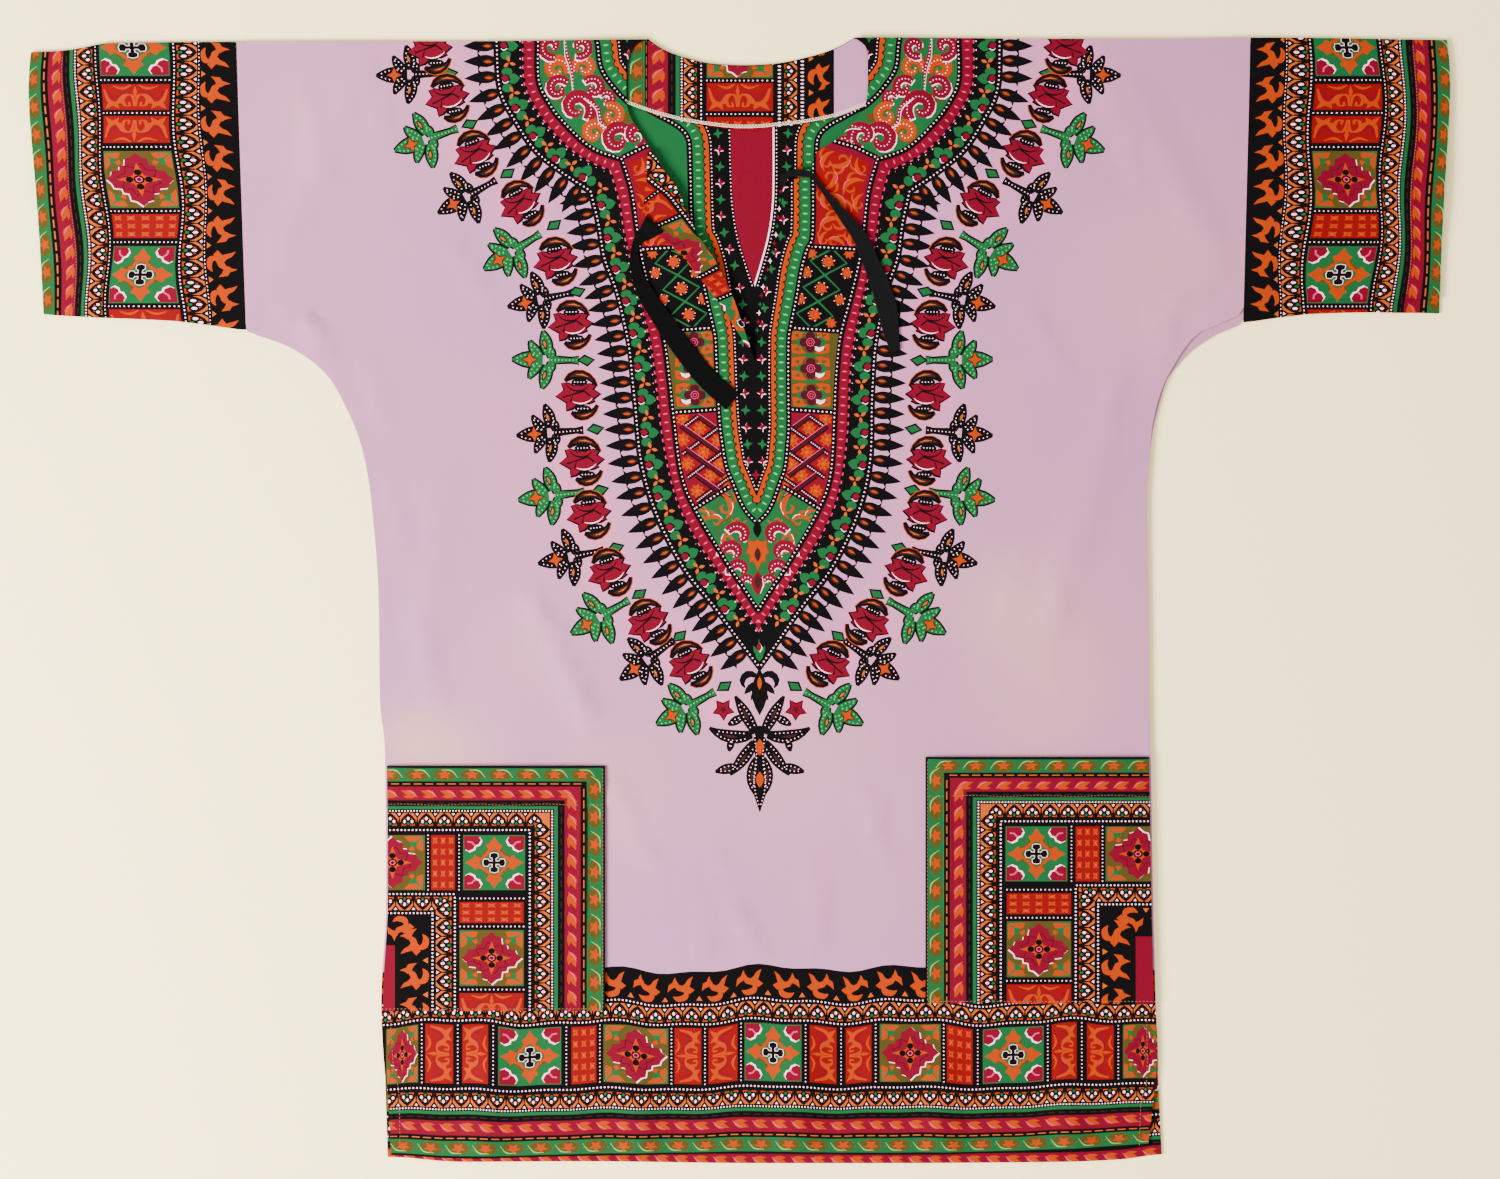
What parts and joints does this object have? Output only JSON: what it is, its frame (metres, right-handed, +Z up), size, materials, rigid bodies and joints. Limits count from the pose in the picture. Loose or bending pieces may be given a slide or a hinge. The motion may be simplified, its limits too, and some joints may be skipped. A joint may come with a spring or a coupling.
{
  "type": "dashiki shirt",
  "caption": "Wide-cut printed cotton pullover shirt laid flat, face up, with banded sleeve ends, patch pockets and a slit neck with ribbon ties.",
  "frame": {"origin": "middle of the laid-out shirt's footprint, on the surface it lies on", "axes": "+X to the right as seen from above with the neck at the top (the wearer's left sleeve), +Y from the hem to the shoulders, +Z up from the surface"},
  "size_m": [1.1362, 0.9, 0.0069],
  "materials": {
    "ground_print": "plain-woven printed cotton, lilac ground with a multicolour print",
    "border_print": "plain-woven printed cotton, banded border print in crimson, orange, green and black",
    "yoke_print": "plain-woven printed cotton, black, green and orange",
    "velvet_ribbon": "black velvet ribbon with a soft sheen",
    "cotton_ribbon": "matte black cotton ribbon"
  },
  "bodies": {
    "root": {"back_panel": "ground_print", "front_panel": "ground_print", "cuff_left": "border_print", "cuff_right": "border_print", "pocket_left": "border_print", "pocket_right": "border_print", "neck_facing": "border_print", "slit_facing_left": "border_print", "slit_facing_right": "yoke_print", "tie_left": "velvet_ribbon", "tie_right": "cotton_ribbon"}
  },
  "joints": []
}
